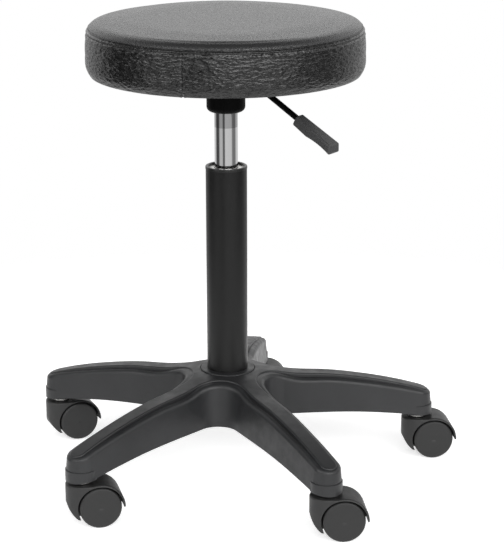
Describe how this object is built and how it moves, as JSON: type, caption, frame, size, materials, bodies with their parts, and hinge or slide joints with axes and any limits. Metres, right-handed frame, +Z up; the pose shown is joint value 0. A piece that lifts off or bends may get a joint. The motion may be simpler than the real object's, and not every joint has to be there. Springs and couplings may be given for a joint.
{
  "type": "adjustable swivel stool",
  "caption": "Round padded stool on a height-adjustable gas lift, with a release lever and a five-arm base on hooded twin-wheel casters.",
  "frame": {"origin": "on the floor, under the swivel axis", "axes": "+Z up along the swivel axis; -Y is the front of the stool as it stands, with the lever to the right of the front"},
  "size_m": [0.5294, 0.5072, 0.5665],
  "materials": {
    "base_nylon": "fine textured injection-moulded nylon",
    "caster_nylon": "moulded nylon, satin",
    "wheel_nylon": "moulded nylon, satin",
    "tube_black": "satin black powder coat",
    "black_plastic": "black moulded plastic",
    "white_plastic": "natural acetal",
    "zinc_steel": "zinc plated",
    "alloy": "turned",
    "brass_cage": "pressed",
    "chrome_cylinder": "hard chromed and ground",
    "socket_black": "black powder coat, satin",
    "rubber_black": "matt",
    "plywood": "birch plywood, unfinished",
    "foam": "moulded polyurethane foam",
    "leatherette": "black grained imitation leather, satin",
    "dust_cloth": "black non-woven cloth",
    "handle_plastic": "dark grey moulded plastic, fine texture"
  },
  "bodies": {
    "base": {"base_star": "base_nylon", "sleeve_band": "zinc_steel", "stand_tube": "tube_black", "tube_cap": "black_plastic", "guide_bush": "white_plastic", "retaining_washer": "zinc_steel", "lower_race": "zinc_steel", "bearing_balls": "zinc_steel", "ball_cage": "brass_cage", "caster_stems": "zinc_steel", "grip_rings": "zinc_steel"},
    "lift_rod": {"piston_rod": "zinc_steel", "piston": "alloy", "piston_seal": "rubber_black", "upper_race": "zinc_steel", "bump_stop": "rubber_black", "foot_washer": "zinc_steel", "foot_clip": "zinc_steel"},
    "seat": {"gas_cylinder": "chrome_cylinder", "rod_seal": "rubber_black", "valve_body": "alloy", "seat_socket": "socket_black", "seat_plate": "socket_black", "lever_bracket": "socket_black", "lever_pivot": "zinc_steel", "seat_board": "plywood", "seat_foam": "foam", "cover_top": "leatherette", "cover_side": "leatherette", "dust_cover": "dust_cloth", "tee_nuts": "zinc_steel", "seat_screws": "zinc_steel", "cover_staples": "zinc_steel"},
    "lever": {"lever_rod": "socket_black", "lever_handle": "handle_plastic"},
    "release_pin": {"release_pin": "alloy"},
    "caster_right": {"caster_right_hood": "caster_nylon", "caster_right_axle": "zinc_steel"},
    "wheel_right_near": {"caster_right_wheel_near": "wheel_nylon"},
    "wheel_right_far": {"caster_right_wheel_far": "wheel_nylon"},
    "caster_rear": {"caster_rear_hood": "caster_nylon", "caster_rear_axle": "zinc_steel"},
    "wheel_rear_near": {"caster_rear_wheel_near": "wheel_nylon"},
    "wheel_rear_far": {"caster_rear_wheel_far": "wheel_nylon"},
    "caster_left": {"caster_left_hood": "caster_nylon", "caster_left_axle": "zinc_steel"},
    "wheel_left_near": {"caster_left_wheel_near": "wheel_nylon"},
    "wheel_left_far": {"caster_left_wheel_far": "wheel_nylon"},
    "caster_front_left": {"caster_front_left_hood": "caster_nylon", "caster_front_left_axle": "zinc_steel"},
    "wheel_front_left_near": {"caster_front_left_wheel_near": "wheel_nylon"},
    "wheel_front_left_far": {"caster_front_left_wheel_far": "wheel_nylon"},
    "caster_front_right": {"caster_front_right_hood": "caster_nylon", "caster_front_right_axle": "zinc_steel"},
    "wheel_front_right_near": {"caster_front_right_wheel_near": "wheel_nylon"},
    "wheel_front_right_far": {"caster_front_right_wheel_far": "wheel_nylon"}
  },
  "joints": [
    {"name": "seat_swivel", "type": "hinge", "parent": "base", "child": "lift_rod", "pos_m": [0, 0, 0.0753], "axis": [0, 0, 1], "continuous": true},
    {"name": "seat_height", "type": "slide", "parent": "lift_rod", "child": "seat", "axis": [0, 0, 1], "range_m": [-0.065, 0.065]},
    {"name": "lever_lift", "type": "hinge", "parent": "seat", "child": "lever", "pos_m": [0.02621, -0.01835, 0.4925], "axis": [-0.5736, -0.8192, 0], "range_deg": [0, 6], "stiffness_Nm_per_rad": 6, "springref_deg": -2.86},
    {"name": "pin_press", "type": "slide", "parent": "seat", "child": "release_pin", "axis": [0, 0, -1], "range_m": [0, 0.0036]},
    {"name": "swivel_right", "type": "hinge", "parent": "base", "child": "caster_right", "pos_m": [0.24014, 0.04321, 0.05], "axis": [0, 0, 1], "continuous": true},
    {"name": "roll_right_near", "type": "hinge", "parent": "caster_right", "child": "wheel_right_near", "pos_m": [0.25901, 0.04543, 0.025], "axis": [-0.1167, 0.9932, 0], "continuous": true},
    {"name": "roll_right_far", "type": "hinge", "parent": "caster_right", "child": "wheel_right_far", "pos_m": [0.25901, 0.04543, 0.025], "axis": [-0.1167, 0.9932, 0], "continuous": true},
    {"name": "swivel_rear", "type": "hinge", "parent": "base", "child": "caster_rear", "pos_m": [0.03311, 0.24174, 0.05], "axis": [0, 0, 1], "continuous": true},
    {"name": "roll_rear_near", "type": "hinge", "parent": "caster_rear", "child": "wheel_rear_near", "pos_m": [0.05183, 0.24504, 0.025], "axis": [-0.1736, 0.9848, 0], "continuous": true},
    {"name": "roll_rear_far", "type": "hinge", "parent": "caster_rear", "child": "wheel_rear_far", "pos_m": [0.05183, 0.24504, 0.025], "axis": [-0.1736, 0.9848, 0], "continuous": true},
    {"name": "swivel_left", "type": "hinge", "parent": "base", "child": "caster_left", "pos_m": [-0.21968, 0.1062, 0.05], "axis": [0, 0, 1], "continuous": true},
    {"name": "roll_left_near", "type": "hinge", "parent": "caster_left", "child": "wheel_left_near", "pos_m": [-0.20219, 0.11362, 0.025], "axis": [-0.3907, 0.9205, 0], "continuous": true},
    {"name": "roll_left_far", "type": "hinge", "parent": "caster_left", "child": "wheel_left_far", "pos_m": [-0.20219, 0.11362, 0.025], "axis": [-0.3907, 0.9205, 0], "continuous": true},
    {"name": "swivel_front_left", "type": "hinge", "parent": "base", "child": "caster_front_left", "pos_m": [-0.16888, -0.17611, 0.05], "axis": [0, 0, 1], "continuous": true},
    {"name": "roll_front_left_near", "type": "hinge", "parent": "caster_front_left", "child": "wheel_front_left_near", "pos_m": [-0.15045, -0.17151, 0.025], "axis": [-0.2419, 0.9703, 0], "continuous": true},
    {"name": "roll_front_left_far", "type": "hinge", "parent": "caster_front_left", "child": "wheel_front_left_far", "pos_m": [-0.15045, -0.17151, 0.025], "axis": [-0.2419, 0.9703, 0], "continuous": true},
    {"name": "swivel_front_right", "type": "hinge", "parent": "base", "child": "caster_front_right", "pos_m": [0.1153, -0.21504, 0.05], "axis": [0, 0, 1], "continuous": true},
    {"name": "roll_front_right_near", "type": "hinge", "parent": "caster_front_right", "child": "wheel_front_right_near", "pos_m": [0.13422, -0.21322, 0.025], "axis": [-0.0958, 0.9954, 0], "continuous": true},
    {"name": "roll_front_right_far", "type": "hinge", "parent": "caster_front_right", "child": "wheel_front_right_far", "pos_m": [0.13422, -0.21322, 0.025], "axis": [-0.0958, 0.9954, 0], "continuous": true}
  ],
  "couplings": [
    {"joint": "pin_press", "follows": "lever_lift", "m_per_rad": 0.032}
  ]
}
